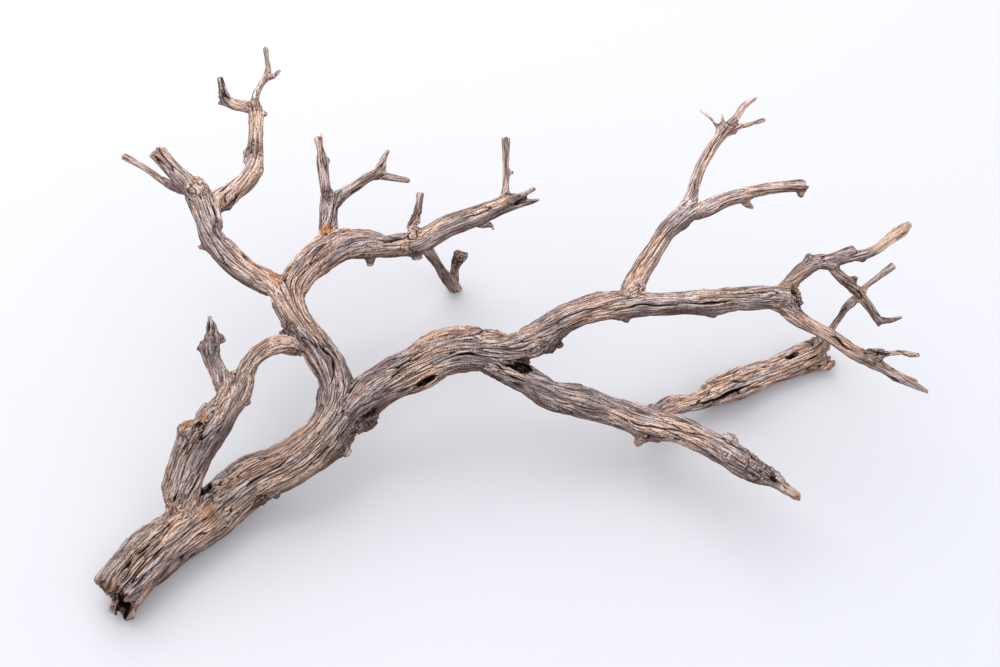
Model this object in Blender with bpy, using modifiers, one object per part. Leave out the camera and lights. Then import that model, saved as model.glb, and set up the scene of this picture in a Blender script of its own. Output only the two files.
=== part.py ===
"""A dry, weathered branch that grew as one piece: a stout broken base, a limb that loops back
into it, and four long limbs that fork into bare twigs.

It lies at rest on z = 0, on the underside of its base, the end of its back limb and one short
twig that points down. +X runs along its length from the broken base to the twig ends, +Y goes
to the side that the left limbs lean to, and +Z is up. The origin is at the middle of its box,
on the resting surface.
"""

import bmesh
import bpy
from mathutils import Matrix, Vector

# Driving dimensions, in metres.
MILLIMETRE = 0.001
VOXEL = 0.0008  # grain of the joined surface
LUMP_LENGTH = 0.018  # distance from one swelling of the wood to the next
LUMP_SHARE = 0.10  # height of a swelling, as a share of the limb's thickness
MOST_LUMP = 0.0018
SMOOTHING_ROUNDS = 4
SMOOTHING_SHARE = 0.5  # of the way to its neighbours' middle that a point moves each round
GIRTH = 1.03  # makes up for what the rounding takes off
TRIANGLES = 11000  # of the finished solid, before the resting flats are cut

HOLLOW_PLACE = (-0.1820, -0.1365, 0.0105)  # in the broken end of the base
HOLLOW_HALF_SIZE = (0.0085, 0.0180, 0.0050)  # across the base, along it, and up
HOLLOW_SEGMENTS = 20
HOLLOW_RINGS = 12
BASE_DIRECTION = (0.57, 0.82, 0.0)  # from the broken end into the base
FLOOR_BLOCK = (0.60, 0.50, 0.02)  # cuts the resting flats

WOOD_COLOUR = (0.36, 0.27, 0.20, 1.0)
WOOD_ROUGHNESS = 0.85

# Each limb's route from its foot, inside its parent, to its tip. A bend is (x, y, z) and the
# limb's thickness there, all in millimetres.
BASE_AND_LOOP = {
    "base": (
        (-181, -128, 12.5, 23), (-169, -108, 12.5, 27.5), (-160, -100, 12.5, 27.5),
        (-145, -89, 14, 25.5), (-125, -72, 17, 23), (-102, -63, 25, 21), (-85, -53, 33, 21.5),
        (-79, -44, 38, 21),
    ),
    "base_lower_lip": ((-177, -124, 9, 12.5), (-177, -131, 6, 9.5), (-175, -137, 5, 5.5)),
    "base_lower_lip_corner": ((-179, -126, 9, 9.5), (-182, -131, 6.5, 7), (-184, -134, 5, 4.5)),
    "base_under_flake": ((-117, -72, 12, 7), (-108, -74, 12, 2)),
    "base_under_bump": ((-132, -80, 9, 10), (-128, -84, 6, 2.5)),
    "base_side_flake": ((-85, -39, 40, 7), (-90, -36, 40, 2.5)),
    "crotch_lobe": ((-70, -41, 36, 14.5), (-65, -42, 34, 12), (-60, -43, 32, 7)),
    "crotch_lip": ((-69, -46, 33, 8), (-62, -47, 31, 3)),
    "crotch_bump": ((-80, -56, 30, 10.5), (-74, -58, 27, 3.5)),
    "loop_limb": (
        (-153, -90, 14, 18.5), (-153, -83, 24, 18), (-151, -78, 34, 17), (-148, -73, 43, 17.5),
        (-144, -68, 51, 18), (-137, -62, 56, 16), (-131, -55, 60, 14.5), (-125, -48, 63, 13),
        (-122, -40, 65, 10.5), (-119, -31, 66, 9), (-114, -25, 66, 8.5), (-108, -21, 65, 9),
        (-102, -18, 60, 9.5), (-98, -15, 55, 9),
    ),
    "loop_shoulder": ((-140, -58, 56, 10.5), (-137, -53, 60, 7.5)),
    "loop_inner_bump": ((-124, -51, 61, 8.5), (-119, -49, 60, 3.5)),
    "loop_low_bump": ((-145, -74, 44, 10.5), (-140, -76, 42, 4)),
    "loop_broken_stub": ((-141, -69, 51, 12.5), (-144, -66, 57, 14), (-145, -63, 61, 13)),
    "loop_stub_corner": ((-148, -70, 52, 10.5), (-150, -62, 58, 4)),
    "loop_knobbly_stub": (
        (-129, -51, 63, 8.5), (-133, -42, 70, 8.5), (-137, -35, 74, 8), (-138, -30, 77, 10),
        (-137, -24, 80, 6.5), (-138, -17, 84, 2.5),
    ),
    "knobbly_stub_left_lobe": ((-138, -31, 76, 6), (-144, -30, 77, 4)),
    "knobbly_stub_right_lobe": ((-137, -29, 78, 6), (-131, -26, 79, 3.5)),
    "knobbly_stub_foot": ((-129, -46, 66, 6.5), (-126, -38, 67, 4)),
    "left_main": (
        (-79, -48, 38, 17.5), (-80, -38, 42, 17), (-80, -30, 46, 15), (-83, -23, 50, 16.5),
        (-90, -14, 54, 16.5), (-97, -7, 58, 15.5), (-102, 1, 62, 16), (-105, 8, 66, 16),
        (-105, 12, 68, 14),
    ),
    "left_main_spur": ((-104, -9, 57, 5), (-109, -8, 57, 2)),
}
REAR_LEFT = {
    "rear_left_limb": (
        (-103, 9, 67, 12), (-113, 12, 70, 11.5), (-124, 16, 75, 11), (-135, 23, 81, 11.5),
        (-142, 30, 86, 11), (-143, 36, 90, 12), (-146, 43, 94, 12), (-149, 50, 98, 11.5),
    ),
    "rear_left_barb": ((-144, 25, 83, 4), (-148, 25, 82, 2)),
    "cut_knot": ((-148, 48, 96, 11.5), (-148, 48, 104, 10)),
    "thick_twig": ((-149, 50, 95, 8), (-156, 55, 98, 8), (-163, 62, 101, 7.5), (-169, 69, 104, 8)),
    "thin_twig": (
        (-154, 52, 93, 4.5), (-162, 56, 92, 5), (-169, 61, 92, 3.5), (-177, 67, 93, 3),
        (-188, 73, 95, 4),
    ),
    "arm": (
        (-144, 42, 91, 10), (-137, 47, 92, 10), (-130, 51, 95, 9), (-123, 57, 99, 8.5),
        (-121, 65, 102, 7.5), (-121, 75, 105, 7), (-121, 84, 108, 7), (-122, 92, 110, 6),
    ),
    "arm_elbow_knob": ((-136, 46, 92, 8), (-132, 45, 90, 5)),
    "arm_outer_knob": ((-121, 59, 100, 6), (-118, 59, 100, 3)),
    "arm_bump": ((-123, 64, 101, 6), (-125, 71, 103, 3.5)),
    "arm_left_twig": (
        (-121, 91, 110, 5.5), (-128, 91, 112, 5.5), (-134, 92, 113, 5), (-137, 95, 114, 5),
        (-138, 99, 117, 3.5), (-139, 103, 120, 3.5),
    ),
    "arm_left_barb": ((-135, 92, 113, 3.5), (-140, 92, 113, 2)),
    "arm_right_twig": (
        (-122, 92, 110, 5), (-122, 99, 111, 4), (-120, 105, 112, 4), (-117, 112, 112, 4),
        (-118, 122, 111, 3), (-120, 133, 110, 3),
    ),
    "arm_right_spur": ((-117, 111, 112, 3.5), (-114, 109, 114, 3), (-110, 112, 116, 2)),
    "arm_side_spur": ((-120, 89, 109, 4.5), (-115, 87, 111, 2)),
}
MIDDLE = {
    "middle_limb": (
        (-103, 11, 67, 15), (-97, 22, 69, 14.5), (-90, 29, 70, 15.5), (-82, 36, 70, 15.5),
        (-74, 38, 69, 13.5), (-66, 39, 67, 13), (-58, 39, 65, 10.5), (-50, 41, 64, 11.5),
        (-43, 42, 64, 13), (-35, 46, 65, 11), (-28, 50, 67, 11), (-19, 53, 69, 10.5),
        (-10, 55, 71, 10), (-2, 59, 72, 9), (6, 62, 73, 7.5),
    ),
    "middle_high_splinter": ((4, 62, 73, 5.5), (11, 64, 75, 3.5), (18, 68, 76, 2.5)),
    "middle_low_splinter": ((4, 61, 72, 5), (13, 62, 72, 3.5), (20, 64, 72, 2)),
    "middle_end_rag": ((0, 59, 71, 5), (10, 60, 72, 3)),
    "thorn": ((-66, 37, 65, 10), (-65, 34, 62, 5), (-65, 30, 60, 2)),
    "torn_flake": ((-86, 38, 77, 4), (-75, 43, 75, 2)),
    "up_twig": (
        (-86, 39, 71, 9), (-86, 48, 76, 8.5), (-86, 54, 79, 8), (-87, 60, 83, 5), (-88, 66, 86, 4.5),
        (-89, 74, 89, 5.5), (-90, 80, 92, 3.5), (-93, 86, 95, 3),
    ),
    "up_twig_nub": ((-89, 74, 88, 4), (-85, 76, 89, 2)),
    "up_twig_tip": ((-90, 80, 92, 2.5), (-90, 90, 94, 2)),
    "up_twig_fork": (
        (-84, 55, 80, 7), (-79, 61, 80, 5.5), (-72, 65, 82, 4.5), (-66, 69, 84, 4.5),
        (-61, 71, 85, 5.5), (-59, 76, 88, 4), (-56, 81, 91, 2.5),
    ),
    "up_twig_side": ((-62, 70, 85, 4.5), (-54, 68, 84, 3.5), (-45, 67, 83, 2.5)),
    "short_twig": ((-44, 41, 68, 6.5), (-43, 49, 72, 5), (-41, 55, 76, 3.5), (-40, 62, 80, 3.5)),
    "upright_twig": ((2, 60, 73, 4.5), (3, 69, 80, 3.5), (3, 78, 86, 3.5), (3, 88, 92, 4)),
    "upright_spur": ((3, 72, 82, 2.5), (7, 73, 83, 2)),
    "dark_spur": ((-13, 56, 68, 5), (-9, 54, 64, 4.5), (-5, 54, 64, 3), (-3, 51, 63, 2)),
    "under_knob": ((-42, 42, 60, 6.5), (-42, 39, 54, 4.5)),
    "down_twig": (
        (-39, 45, 62, 6.5), (-36, 47, 50, 5.5), (-32, 52, 33, 5), (-29, 57, 16, 5.5),
        (-24, 62, -1, 7),
    ),
    "down_twig_lip": ((-27, 59, 9, 4.5), (-22, 61, 11, 2)),
    "down_twig_stub": ((-24, 60, 8, 4.5), (-24, 63, 16, 4.5), (-21, 65, 24, 6.5)),
    "down_twig_stub_head": ((-24, 66, 25, 3), (-17, 65, 24, 2.5)),
}
RIGHT = {
    "right_limb": (
        (-79, -43, 38, 16.5), (-66, -36, 42, 17.5), (-54, -31, 47, 18.5), (-39, -26, 52, 20.5),
        (-27, -20, 56, 21), (-15, -19, 58, 20), (-2, -21, 59, 18), (7, -21, 61, 15),
        (19, -15, 63, 14.5), (29, -8, 66, 14), (39, -4, 68, 13), (49, -2, 70, 13.5),
        (59, -2, 72, 14.5), (73, -4, 74, 11.5), (87, -4, 76, 10.5), (99, -5, 78, 11.5),
        (115, -4, 80, 11), (130, -5, 82, 12.5), (139, -7, 83, 15),
    ),
    "ragged_bark": ((19, -15, 59, 9), (26, -16, 55, 4.5)),
    "ragged_bark_end": ((25, -12, 60, 8), (30, -15, 56, 2.5)),
    "right_limb_under_bump": ((55, -3, 68, 8), (63, -8, 67, 3)),
    "right_limb_under_ridge": ((94, -5, 75, 7), (104, -10, 75, 2)),
    "right_limb_top_bump": ((96, -3, 80, 6.5), (100, 0, 81, 3.5)),
    "rear_right_limb": (
        (63, -1, 72, 13.5), (66, 10, 76, 10), (72, 19, 80, 9.5), (77, 26, 84, 9), (81, 32, 87, 9),
        (89, 38, 90, 10), (93, 42, 92, 8.5),
    ),
    "rear_right_side_bump": ((65, 9, 76, 5), (63, 13, 76, 3)),
    "rear_right_shoulder": ((80, 31, 86, 6), (77, 33, 87, 3)),
    "rear_right_upper": (
        (93, 41, 91, 7), (94, 48, 94, 6.5), (96, 55, 97, 6), (99, 62, 100, 6), (103, 68, 103, 6),
        (107, 73, 106, 5.5), (112, 79, 108, 5.5), (117, 85, 110, 3.5), (122, 92, 112, 3.5),
        (128, 96, 113, 2.5),
    ),
    "rear_right_upper_knob": ((102, 69, 101, 5), (104, 66, 100, 3)),
    "upper_long_spur": ((109, 76, 107, 3), (106, 83, 109, 2), (99, 88, 113, 2)),
    "upper_tiny_spur": ((110, 80, 108, 2.5), (110, 86, 112, 2)),
    "upper_side_twig": (
        (112, 78, 107, 4.5), (119, 81, 108, 3), (125, 83, 108, 2.5), (132, 85, 109, 2.5),
    ),
    "upper_side_nub": ((113, 79, 106, 4), (118, 80, 105, 2.5)),
    "rear_right_lower": (
        (93, 41, 91, 8), (100, 41, 92, 7), (109, 45, 94, 7), (118, 47, 96, 7), (126, 49, 97, 5.5),
        (136, 50, 98, 5), (145, 51, 98, 5.5), (150, 51, 98, 6.5),
    ),
    "lower_hook": ((148, 51, 97, 5), (148, 48, 93, 3)),
    "lower_thorn": ((119, 47, 94, 5), (122, 45, 91, 3.5), (125, 44, 89, 2)),
    "burl": ((137, -6, 83, 13.5), (144, -5, 83, 7)),
    "burl_underside": ((138, -9, 81, 10.5), (142, -10, 80, 6.5)),
    "tip_upper": (
        (135, -4, 83, 8.5), (141, 2, 88, 7), (147, 6, 92, 7.5), (152, 7, 95, 7), (157, 5, 98, 7),
        (162, 6, 102, 4.5), (168, 7, 105, 4.5),
    ),
    "tip_upper_knob": ((147, 7, 94, 5), (149, 9, 97, 4.5)),
    "bare_twig": (
        (157, 4, 98, 6), (165, 5, 101, 5), (171, 5, 103, 4.5), (177, 6, 105, 4.5),
        (183, 10, 107, 4.5), (189, 14, 109, 6), (195, 18, 110, 3),
    ),
    "bare_twig_rough": ((169, 5, 102, 4.5), (173, 3, 101, 2.5)),
    "bare_splinter": ((187, 12, 107, 3), (193, 15, 107, 2)),
    "drooping_twig": (
        (157, 4, 98, 5), (161, 1, 93, 5), (167, -1, 88, 5.5), (172, -2, 82, 5), (177, -4, 76, 4.5),
        (181, -5, 70, 4), (184, -7, 66, 4),
    ),
    "drooping_left_nub": ((164, 1, 90, 4), (161, 0, 89, 2)),
    "drooping_curl": ((167, -1, 88, 3.5), (169, 2, 89, 2.5), (172, 1, 88, 2)),
    "drooping_right_nub": ((172, -2, 84, 3.5), (176, -3, 83, 2)),
    "drooping_low_nub": ((172, -2, 80, 3.5), (173, -6, 78, 2)),
    "drooping_stub": ((184, -6, 66, 3.5), (185, -8, 62, 2)),
    "drooping_spike": ((185, -7, 66, 3.5), (190, -7, 66, 3), (196, -6, 68, 2)),
    "tip_lower": (
        (136, -8, 82, 10.5), (142, -14, 80, 8.5), (148, -18, 78, 7.5), (155, -21, 76, 7),
        (162, -25, 74, 7), (168, -29, 72, 7), (174, -32, 71, 7), (178, -34, 71, 6),
    ),
    "lower_sliver": ((172, -30, 73, 3.5), (177, -30, 74, 2), (183, -30, 75, 2)),
    "lower_middle_twig": (
        (175, -32, 71, 4.5), (182, -32, 73, 3.5), (190, -32, 75, 3), (195, -34, 76, 3.5),
        (199, -34, 76, 2.5),
    ),
    "lower_end_twig": (
        (177, -34, 70, 6), (183, -37, 69, 5), (189, -41, 68, 5), (195, -44, 67, 4.5),
        (199, -47, 67, 3.5), (203, -49, 66, 2.5),
    ),
    "lower_end_nub": ((187, -40, 68, 5), (189, -42, 66, 3)),
    "lower_end_splinter": ((191, -41, 68, 3.5), (198, -44, 69, 2)),
}
FRONT_AND_BACK = {
    "front_limb": (
        (-6, -23, 57, 14.5), (6, -30, 54, 16), (15, -33, 50, 15), (24, -37, 46, 14.5),
        (39, -37, 41, 16), (49, -39, 37, 15), (61, -41, 34, 15), (73, -46, 32, 14.5),
        (88, -50, 33, 12), (97, -55, 34, 11.5), (106, -61, 36, 12), (115, -70, 39, 13.5),
        (123, -78, 41, 11.5), (130, -83, 43, 9), (134, -88, 44, 6.5), (140, -94, 46, 5),
    ),
    "front_limb_knob": ((109, -62, 38, 8.5), (112, -60, 42, 8)),
    "root_spur": ((73, -47, 28, 9), (67, -50, 21, 2.5)),
    "root_ridge": ((69, -46, 28, 8), (79, -50, 25, 3.5)),
    "back_limb": (
        (69, -45, 27, 8), (72, -38, 18, 8.5), (78, -28, 13, 8.5), (85, -21, 11, 9),
        (97, -19, 10, 8.5), (104, -16, 9.5, 10.5), (111, -11, 9.5, 14.5), (120, -7, 9, 16.5),
        (131, -2, 8, 14.5), (142, 3, 7, 12), (153, 8, 6.5, 13.5), (162, 13, 6.5, 15.5),
        (168, 14, 6.5, 14),
    ),
    "back_limb_heel": ((82, -23, 12, 7), (75, -23, 13, 2.5)),
    "back_limb_low_heel": ((89, -22, 9, 5), (94, -23, 8, 2)),
    "back_limb_first_peak": ((89, -19, 12, 6.5), (87, -16, 13, 2)),
    "back_limb_second_peak": ((111, -10, 11, 11), (108, -6, 14, 2.5)),
    "back_limb_third_peak": ((125, -3, 11, 8), (123, 1, 14, 2)),
    "back_limb_corner": ((166, 10, 6, 8.5), (172, 7, 4.5, 3)),
    "back_limb_high_peak": ((163, 14, 10, 11.5), (166, 18, 15, 5)),
    "back_twig": (
        (166, 15, 13, 9.5), (168, 15, 20, 5.5), (170, 16, 27, 4), (173, 18, 34, 4), (176, 20, 41, 5),
        (180, 22, 45, 4.5), (185, 26, 50, 3), (190, 28, 54, 3), (195, 31, 57, 3.5),
        (198, 33, 58, 4.5),
    ),
    "back_twig_knob": ((178, 18, 42, 3.5), (176, 21, 44, 4.5)),
}
LIMB_GROUPS = (BASE_AND_LOOP, REAR_LEFT, MIDDLE, RIGHT, FRONT_AND_BACK)

CURVE_STEPS = 4  # along each bend of a limb
RING_STEPS = 6  # round a limb: 4 sides and 2 more for each step
WELD = 0.00001


def clear_scene():
    for thing in list(bpy.data.objects):
        bpy.data.objects.remove(thing, do_unlink=True)


def new_collection(name):
    collection = bpy.data.collections.new(name)
    bpy.context.scene.collection.children.link(collection)
    return collection


def evaluated_mesh(thing):
    """A new mesh of the object as its modifiers leave it."""
    graph = bpy.context.evaluated_depsgraph_get()
    return bpy.data.meshes.new_from_object(thing.evaluated_get(graph))


def apply_modifiers(thing):
    mesh = evaluated_mesh(thing)
    thing.modifiers.clear()
    thing.data = mesh


def wood_material():
    material = bpy.data.materials.new("weathered_wood")
    material.use_nodes = True
    shader = material.node_tree.nodes["Principled BSDF"]
    shader.inputs["Base Color"].default_value = WOOD_COLOUR
    shader.inputs["Roughness"].default_value = WOOD_ROUGHNESS
    shader.inputs["Metallic"].default_value = 0.0
    return material


def limb_curve(name, route, collection):
    """A smooth tube along the route, with a round section of the thickness given at each bend."""
    data = bpy.data.curves.new(name, "CURVE")
    data.dimensions = "3D"
    data.bevel_depth = MILLIMETRE / 2
    data.bevel_resolution = RING_STEPS
    data.resolution_u = CURVE_STEPS
    data.use_fill_caps = True
    spline = data.splines.new("BEZIER")
    spline.bezier_points.add(len(route) - 1)
    for point, (x, y, z, thickness) in zip(spline.bezier_points, route):
        point.co = Vector((x, y, z)) * MILLIMETRE
        point.radius = thickness * GIRTH
        point.handle_left_type = "AUTO"
        point.handle_right_type = "AUTO"
    curve = bpy.data.objects.new(name, data)
    collection.objects.link(curve)
    return curve


def limb_mesh(name, route, lumps, collection):
    """The limb as a closed mesh with gentle swellings, in proportion to its thickness."""
    curve = limb_curve(name, route, collection)
    bpy.context.view_layer.update()
    mesh = evaluated_mesh(curve)
    bpy.data.objects.remove(curve, do_unlink=True)
    limb = bpy.data.objects.new(name, mesh)
    collection.objects.link(limb)
    weld = limb.modifiers.new("weld caps", "WELD")
    weld.merge_threshold = WELD
    mean_thickness = MILLIMETRE * sum(bend[3] for bend in route) / len(route)
    swell = limb.modifiers.new("swellings", "DISPLACE")
    swell.texture = lumps
    swell.texture_coords = "GLOBAL"
    swell.strength = min(MOST_LUMP, LUMP_SHARE * mean_thickness)
    swell.mid_level = 0.5
    bpy.context.view_layer.update()
    finished = evaluated_mesh(limb)
    bpy.data.objects.remove(limb, do_unlink=True)
    return finished


def lump_texture():
    texture = bpy.data.textures.new("swellings", "CLOUDS")
    texture.noise_scale = LUMP_LENGTH
    texture.noise_depth = 1
    return texture


def join_limbs(collection):
    """One object that holds every limb's tube, still overlapping at the forks."""
    lumps = lump_texture()
    joined = bmesh.new()
    for group in LIMB_GROUPS:
        for name, route in group.items():
            joined.from_mesh(limb_mesh(name, route, lumps, collection))
    mesh = bpy.data.meshes.new("branch")
    joined.to_mesh(mesh)
    joined.free()
    branch = bpy.data.objects.new("branch", mesh)
    collection.objects.link(branch)
    return branch


def grow_together(branch):
    """Makes the overlapping tubes one skin, with the forks rounded."""
    remesh = branch.modifiers.new("one skin", "REMESH")
    remesh.mode = "VOXEL"
    remesh.voxel_size = VOXEL
    smooth = branch.modifiers.new("rounding", "SMOOTH")
    smooth.factor = SMOOTHING_SHARE
    smooth.iterations = SMOOTHING_ROUNDS
    bpy.context.view_layer.update()
    apply_modifiers(branch)


def hollow_cutter(collection):
    """An egg-shaped cutter that lies along the base, in its broken end."""
    mesh = bpy.data.meshes.new("base_hollow_cutter")
    egg = bmesh.new()
    bmesh.ops.create_uvsphere(
        egg, u_segments=HOLLOW_SEGMENTS, v_segments=HOLLOW_RINGS, radius=1.0
    )
    egg.to_mesh(mesh)
    egg.free()
    along = Vector(BASE_DIRECTION).normalized()
    across = along.cross(Vector((0, 0, 1)))
    half = HOLLOW_HALF_SIZE
    turn = Matrix((across * half[0], along * half[1], Vector((0, 0, half[2])))).transposed()
    mesh.transform(Matrix.Translation(HOLLOW_PLACE) @ turn.to_4x4())
    return add_cutter("base_hollow_cutter", mesh, collection)


def floor_cutter(collection):
    """A block whose top is the resting surface."""
    mesh = bpy.data.meshes.new("floor_cutter")
    block = bmesh.new()
    bmesh.ops.create_cube(block, size=1.0)
    block.to_mesh(mesh)
    block.free()
    length, depth, height = FLOOR_BLOCK
    place = Matrix.Translation((0, 0, -height / 2))
    mesh.transform(place @ Matrix.Diagonal((length, depth, height, 1.0)))
    return add_cutter("floor_cutter", mesh, collection)


def add_cutter(name, mesh, collection):
    cutter = bpy.data.objects.new(name, mesh)
    collection.objects.link(cutter)
    cutter.hide_render = True
    cutter.display_type = "WIRE"
    return cutter


def cut(branch, cutter):
    boolean = branch.modifiers.new(cutter.name, "BOOLEAN")
    boolean.operation = "DIFFERENCE"
    boolean.solver = "EXACT"
    boolean.object = cutter


def thin_out(branch):
    """Leaves about the number of triangles asked for, most of them where the wood bends."""
    decimate = branch.modifiers.new("fewer triangles", "DECIMATE")
    decimate.ratio = min(1.0, TRIANGLES / (2 * len(branch.data.polygons)))
    decimate.use_collapse_triangulate = True
    bpy.context.view_layer.update()
    apply_modifiers(branch)


def centre_over_origin(branch):
    """Moves the mesh sideways until the middle of its box is over the origin."""
    xs = [vertex.co.x for vertex in branch.data.vertices]
    ys = [vertex.co.y for vertex in branch.data.vertices]
    middle = Vector((min(xs) + max(xs), min(ys) + max(ys), 0)) / 2
    branch.data.transform(Matrix.Translation(-middle))


def finish_surface(branch):
    branch.data.materials.clear()
    branch.data.materials.append(wood_material())
    branch.data.shade_smooth()


def build():
    clear_scene()
    parts = new_collection("dry_branch")
    cutters = new_collection("cutters")
    branch = join_limbs(parts)
    grow_together(branch)
    cut(branch, hollow_cutter(cutters))
    bpy.context.view_layer.update()
    apply_modifiers(branch)
    thin_out(branch)
    cut(branch, floor_cutter(cutters))
    bpy.context.view_layer.update()
    apply_modifiers(branch)
    centre_over_origin(branch)
    finish_surface(branch)


build()
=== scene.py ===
"""Looks of the dry branch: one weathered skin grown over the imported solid.

The skin starts as a fine copy of the solid. Wood fibres are then followed through it: their
direction comes from the solid's own shape, and long streaks of noise along them give flutes,
ridges, grooves and drying cracks as real geometry. Named places carry what is single: knots,
holes, clefts, long cracks, fresh breaks, bare wood and broken ends.

A named place is given by where it lies in the object's box and on which side of its limb, so it
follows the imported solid.

Points, lengths and depths are in millimetres in the row frame, until a mesh is written.
"""

import math

import bmesh
import bpy
import numpy as np
from mathutils import Matrix, Vector
from mathutils.bvhtree import BVHTree


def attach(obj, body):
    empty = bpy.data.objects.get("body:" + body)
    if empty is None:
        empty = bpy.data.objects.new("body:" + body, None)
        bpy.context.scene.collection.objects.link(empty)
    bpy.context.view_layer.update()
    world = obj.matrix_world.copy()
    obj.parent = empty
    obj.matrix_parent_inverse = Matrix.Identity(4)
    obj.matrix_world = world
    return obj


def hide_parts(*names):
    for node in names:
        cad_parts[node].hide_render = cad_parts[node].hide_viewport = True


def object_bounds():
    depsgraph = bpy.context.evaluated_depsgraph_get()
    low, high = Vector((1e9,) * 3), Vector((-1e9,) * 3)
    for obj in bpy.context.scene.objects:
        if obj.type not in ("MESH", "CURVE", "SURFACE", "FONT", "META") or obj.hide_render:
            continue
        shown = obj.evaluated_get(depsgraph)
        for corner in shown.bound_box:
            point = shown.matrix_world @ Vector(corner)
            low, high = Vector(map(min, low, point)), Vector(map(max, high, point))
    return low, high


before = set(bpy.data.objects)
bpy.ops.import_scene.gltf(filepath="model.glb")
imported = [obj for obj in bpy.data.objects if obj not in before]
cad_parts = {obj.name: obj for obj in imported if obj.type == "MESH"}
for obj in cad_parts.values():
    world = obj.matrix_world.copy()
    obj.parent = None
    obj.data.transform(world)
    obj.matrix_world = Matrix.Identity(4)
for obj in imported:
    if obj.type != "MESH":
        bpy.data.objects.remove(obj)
cad_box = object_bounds()

MM = 0.001
SEED = 7
VOXEL = 0.42
SMOOTHING_ROUNDS = 4
JOINED_WITHIN = 0.000005  # metres
UNDER_FACE = 0.00005  # metres, where the ray that measures the wood's thickness starts

# Fibre field.
CELL = 1.5  # of the grid that holds the fibres' direction
MARGIN = 9.0  # of the grid round the solid
BLUR_REACH = 2  # cells each way
BLUR_ROUNDS = 3
FACES_AT_ONCE = 1000
MOST_THICKNESS = 40.0  # a longer ray has missed its limb
LEAST_REACH = 3.0  # over which a direction is read from the solid's normals
MOST_REACH = 11.0
REACH_SHARE = 0.75  # of the wood's thickness

# Streaks.
LATTICE = 64
STEP = 0.5  # along a fibre, for the fine streaks
FINE_STEPS = 15
LONG_STEP = 1.7
LONG_STEPS = 13


def smooth_step(value, low, high):
    share = np.clip((value - low) / (high - low), 0.0, 1.0)
    return share * share * (3.0 - 2.0 * share)


# --- The skin ---------------------------------------------------------------------------------


def points_of(mesh):
    points = np.empty(len(mesh.vertices) * 3, np.float32)
    mesh.vertices.foreach_get("co", points)
    return points.reshape(-1, 3) / MM


def normals_of(mesh):
    normals = np.empty(len(mesh.vertices) * 3, np.float32)
    mesh.vertices.foreach_get("normal", normals)
    return normals.reshape(-1, 3)


def set_points(mesh, points):
    mesh.vertices.foreach_set("co", (points * MM).astype(np.float32).ravel())
    mesh.update()


def solid_copy():
    """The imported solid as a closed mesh, with its corners joined."""
    solid = bmesh.new()
    solid.from_mesh(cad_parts["branch"].data)
    bmesh.ops.remove_doubles(solid, verts=solid.verts, dist=JOINED_WITHIN)
    return solid


def apply_modifiers(thing):
    graph = bpy.context.evaluated_depsgraph_get()
    mesh = bpy.data.meshes.new_from_object(thing.evaluated_get(graph))
    thing.modifiers.clear()
    thing.data = mesh


def new_object(name, mesh_maker):
    mesh = bpy.data.meshes.new(name)
    mesh_maker.to_mesh(mesh)
    thing = bpy.data.objects.new(name, mesh)
    bpy.context.scene.collection.objects.link(thing)
    return thing


def fine_skin(solid, cutters):
    """A fine even skin over the solid, with the cutters' hollows in it."""
    skin = new_object("branch_skin", solid)
    tool = new_object("hollow_cutters", cutters)
    hollows = skin.modifiers.new("hollows", "BOOLEAN")
    hollows.operation = "DIFFERENCE"
    hollows.solver = "EXACT"
    hollows.use_self = True
    hollows.object = tool
    remesh = skin.modifiers.new("fine skin", "REMESH")
    remesh.mode = "VOXEL"
    remesh.voxel_size = VOXEL * MM
    smooth = skin.modifiers.new("rounding", "SMOOTH")
    smooth.factor = 0.5
    smooth.iterations = SMOOTHING_ROUNDS
    bpy.context.view_layer.update()
    apply_modifiers(skin)
    bpy.data.objects.remove(tool, do_unlink=True)
    drop_crumbs(skin.data)
    return skin


def drop_crumbs(mesh):
    """Leaves only the largest connected piece."""
    edges = edges_of(mesh)
    label = np.arange(len(mesh.vertices))
    while True:
        least = np.minimum(label[edges[:, 0]], label[edges[:, 1]])
        before = label.copy()
        np.minimum.at(label, edges[:, 0], least)
        np.minimum.at(label, edges[:, 1], least)
        label = label[label]
        if (label == before).all():
            break
    biggest = np.bincount(label).argmax()
    if (label == biggest).all():
        return
    whole = bmesh.new()
    whole.from_mesh(mesh)
    loose = [vertex for vertex in whole.verts if label[vertex.index] != biggest]
    bmesh.ops.delete(whole, geom=loose, context="VERTS")
    whole.to_mesh(mesh)
    whole.free()


def edges_of(mesh):
    edges = np.empty(len(mesh.edges) * 2, np.int32)
    mesh.edges.foreach_get("vertices", edges)
    return edges.reshape(-1, 2)


# --- The fibres' direction --------------------------------------------------------------------


def outer_products(vectors):
    x, y, z = vectors.T
    return np.stack((x * x, y * y, z * z, x * y, x * z, y * z), axis=1).astype(np.float32)


def as_matrices(sixes):
    xx, yy, zz, xy, xz, yz = sixes.T
    rows = (xx, xy, xz, xy, yy, yz, xz, yz, zz)
    return np.stack(rows, axis=1).reshape(-1, 3, 3)


def face_table(solid):
    """Centre, normal, area and the wood's thickness under each face of the solid."""
    tree = BVHTree.FromBMesh(solid)
    centres, normals, areas, thicknesses = [], [], [], []
    for face in solid.faces:
        centre = face.calc_center_median()
        hit = tree.ray_cast(centre - face.normal * UNDER_FACE, -face.normal)
        centres.append(centre / MM)
        normals.append(face.normal.copy())
        areas.append(face.calc_area() / MM**2)
        thicknesses.append(hit[3] / MM if hit[3] else LEAST_REACH)
    return np.array(centres), np.array(normals), np.array(areas), np.array(thicknesses)


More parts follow.
